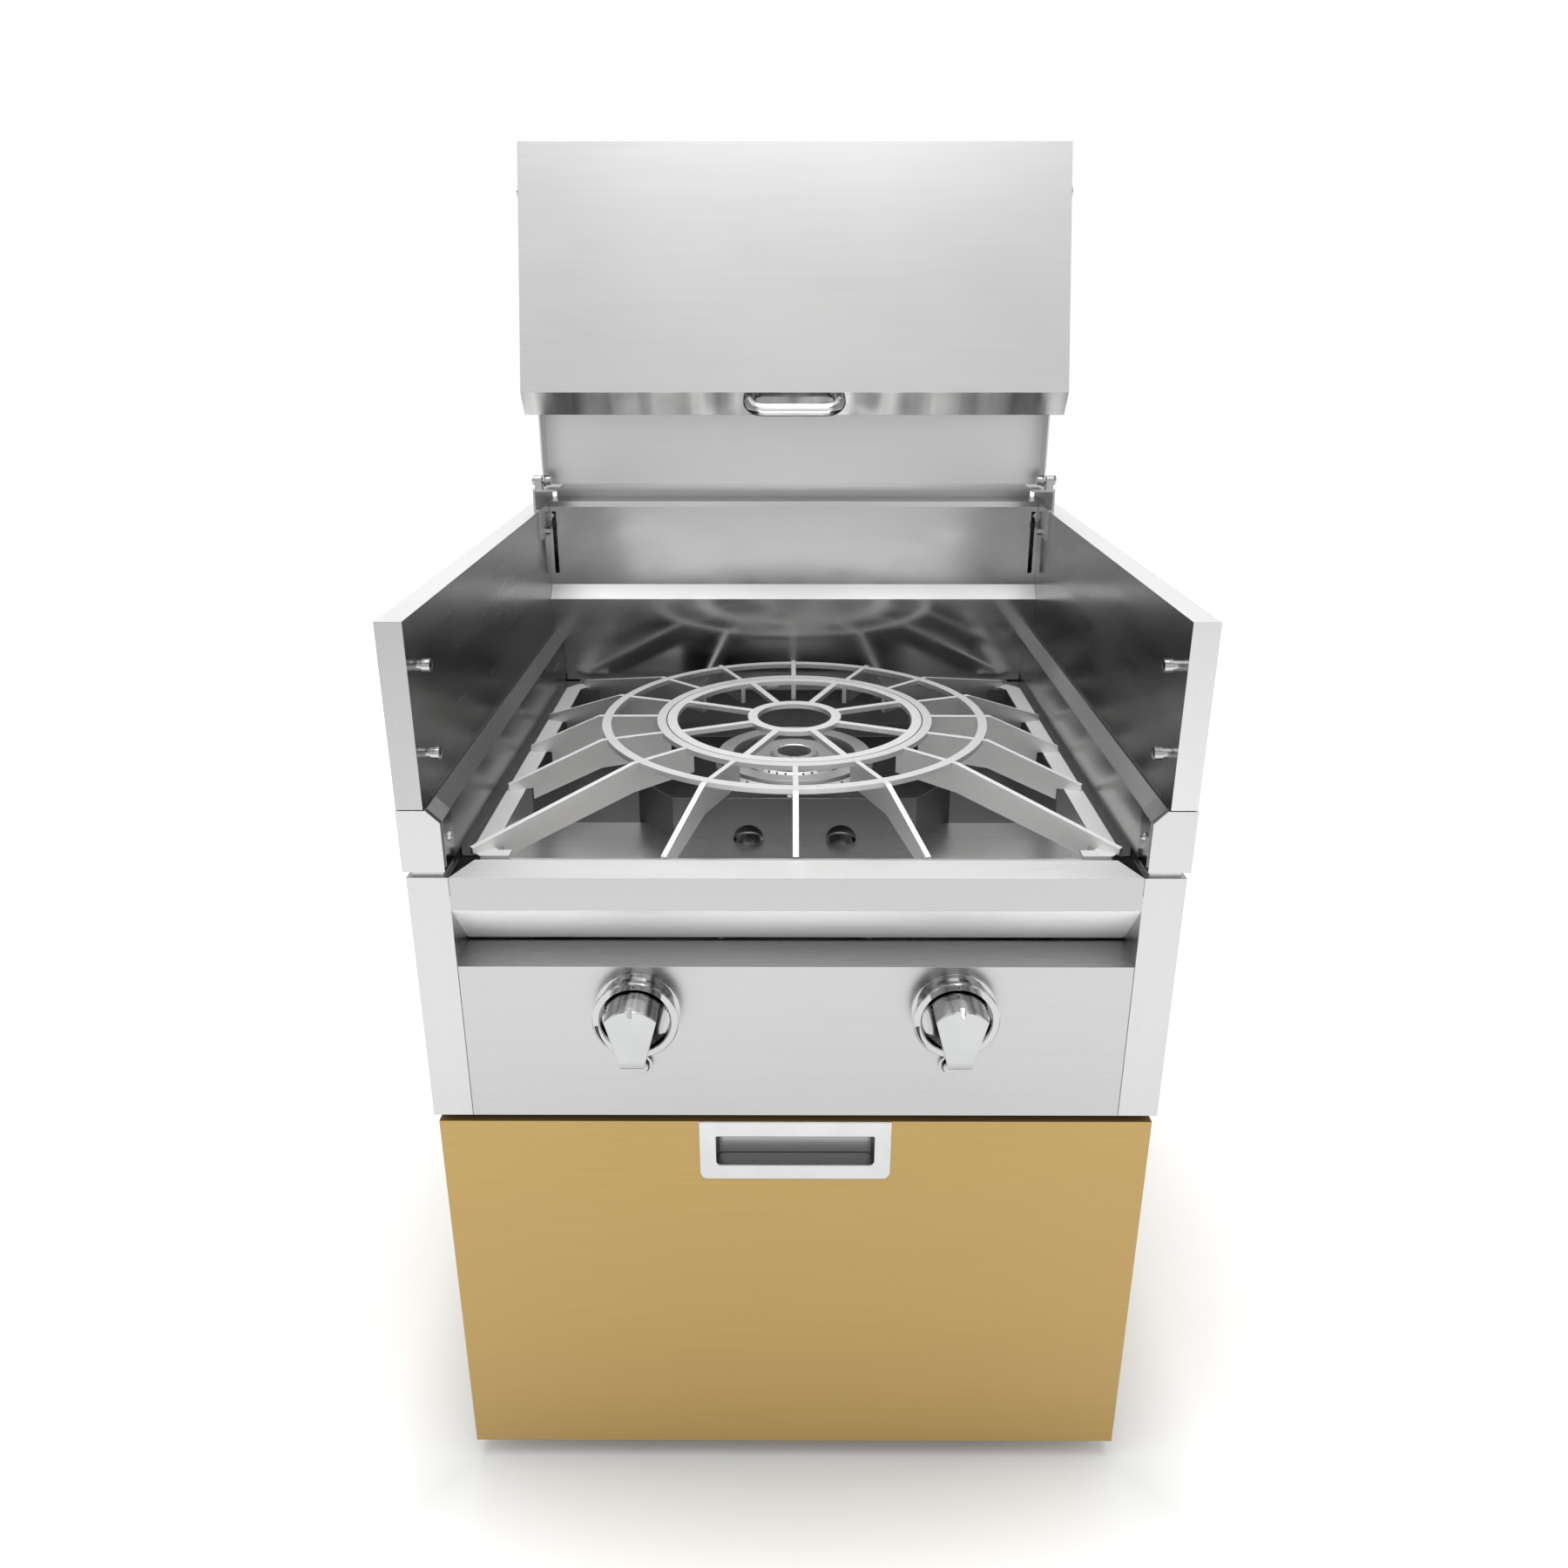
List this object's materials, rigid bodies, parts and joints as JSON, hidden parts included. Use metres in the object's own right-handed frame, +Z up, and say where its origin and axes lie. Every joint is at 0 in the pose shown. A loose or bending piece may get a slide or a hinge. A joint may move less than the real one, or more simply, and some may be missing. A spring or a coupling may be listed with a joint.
{
  "type": "outdoor kitchen power burner",
  "caption": "Free-standing gas power burner cabinet with a two-piece folding lid, side wind guards, lift-off round grate, control knobs and a gas cylinder drawer.",
  "frame": {"origin": "centre of the lower cabinet footprint, on the floor", "axes": "+X to the right seen from the front, +Y to the back, +Z up"},
  "size_m": [0.768, 0.818, 1.4921],
  "materials": {
    "gold_paint": "satin gold powder coat",
    "brushed_steel": "brushed along the width",
    "polished_steel": "polished",
    "burner_steel": "dull, slightly heat stained",
    "aluminium_tube": "satin",
    "valve_brass": "machined",
    "white_ceramic": "glazed",
    "black_plastic": "moulded",
    "black_rubber": "matt"
  },
  "bodies": {
    "frame": {"levelling_feet": "black_rubber", "cabinet_base": "gold_paint", "cabinet_left_side": "gold_paint", "cabinet_right_side": "gold_paint", "cabinet_back": "gold_paint", "deck_plate": "brushed_steel", "left_front_post": "brushed_steel", "right_front_post": "brushed_steel", "front_rail": "brushed_steel", "control_panel": "brushed_steel", "upper_left_side": "brushed_steel", "upper_right_side": "brushed_steel", "upper_back": "brushed_steel", "left_side_rail": "brushed_steel", "right_side_rail": "brushed_steel", "rail_end_caps": "polished_steel", "rail_cap_screws": "polished_steel", "left_wind_guard": "brushed_steel", "right_wind_guard": "brushed_steel", "rest_peg_screws": "polished_steel", "rest_peg_sleeves": "polished_steel", "rest_peg_nuts": "polished_steel", "rear_wall": "brushed_steel", "rear_duct_panel": "brushed_steel", "hinge_brackets": "polished_steel", "bracket_bolts": "polished_steel", "hinge_bolts": "polished_steel", "burner_pan": "brushed_steel", "burner_tub": "burner_steel", "burner_bowl": "burner_steel", "outer_port_ring": "burner_steel", "inner_port_ring": "burner_steel", "burner_cap": "burner_steel", "venturi_tubes": "burner_steel", "gas_feed_pipes": "aluminium_tube", "gas_valves": "valve_brass", "gas_manifold": "aluminium_tube", "igniter_electrodes": "white_ceramic", "igniter_modules": "black_plastic", "knob_bezels": "polished_steel", "igniter_bezels": "polished_steel", "outer_slide_members": "polished_steel"},
    "rear_lid": {"rear_lid_half": "brushed_steel", "fold_bolts": "polished_steel"},
    "front_lid": {"front_lid_half": "brushed_steel", "lid_handle_bar": "polished_steel", "lid_handle_mounts": "polished_steel"},
    "grate": {"grate_side_plates": "brushed_steel", "grate_ribs": "brushed_steel", "grate_rings": "brushed_steel"},
    "grate_centre": {"grate_insert": "brushed_steel"},
    "left_knob": {"left_knob": "polished_steel"},
    "right_knob": {"right_knob": "polished_steel"},
    "left_button": {"left_igniter_button": "polished_steel"},
    "right_button": {"right_igniter_button": "polished_steel"},
    "drawer": {"drawer_front": "gold_paint", "drawer_pull": "polished_steel", "drawer_tray": "brushed_steel", "inner_slide_members": "polished_steel"},
    "slide_middles": {"middle_slide_members": "polished_steel"}
  },
  "joints": [
    {"name": "lid_hinge", "type": "hinge", "parent": "frame", "child": "rear_lid", "pos_m": [0, 0.235, 1.069], "axis": [1, 0, 0], "range_deg": [0, 97]},
    {"name": "lid_fold", "type": "hinge", "parent": "rear_lid", "child": "front_lid", "pos_m": [0, 0.238, 1.434], "axis": [1, 0, 0], "range_deg": [-164, 0]},
    {"name": "grate_lift", "type": "slide", "parent": "frame", "child": "grate", "axis": [0, 0, 1], "range_m": [0, 0.06]},
    {"name": "grate_centre_lift", "type": "slide", "parent": "grate", "child": "grate_centre", "axis": [0, 0, 1], "range_m": [0, 0.08]},
    {"name": "left_knob_turn", "type": "hinge", "parent": "frame", "child": "left_knob", "pos_m": [-0.161, -0.381, 0.62], "axis": [0, 1, 0], "range_deg": [0, 150]},
    {"name": "right_knob_turn", "type": "hinge", "parent": "frame", "child": "right_knob", "pos_m": [0.161, -0.381, 0.62], "axis": [0, 1, 0], "range_deg": [0, 150]},
    {"name": "left_button_press", "type": "slide", "parent": "frame", "child": "left_button", "axis": [0, 1, 0], "range_m": [0, 0.003], "stiffness_N_per_m": 400, "springref_m": -0.002},
    {"name": "right_button_press", "type": "slide", "parent": "frame", "child": "right_button", "axis": [0, 1, 0], "range_m": [0, 0.003], "stiffness_N_per_m": 400, "springref_m": -0.002},
    {"name": "drawer_pull_out", "type": "slide", "parent": "frame", "child": "drawer", "axis": [0, -1, 0], "range_m": [0, 0.45]},
    {"name": "slide_middle_travel", "type": "slide", "parent": "frame", "child": "slide_middles", "axis": [0, -1, 0], "range_m": [0, 0.225]}
  ],
  "couplings": [
    {"joint": "lid_fold", "follows": "lid_hinge", "ratio": -1.69},
    {"joint": "slide_middle_travel", "follows": "drawer_pull_out", "ratio": 0.5}
  ]
}
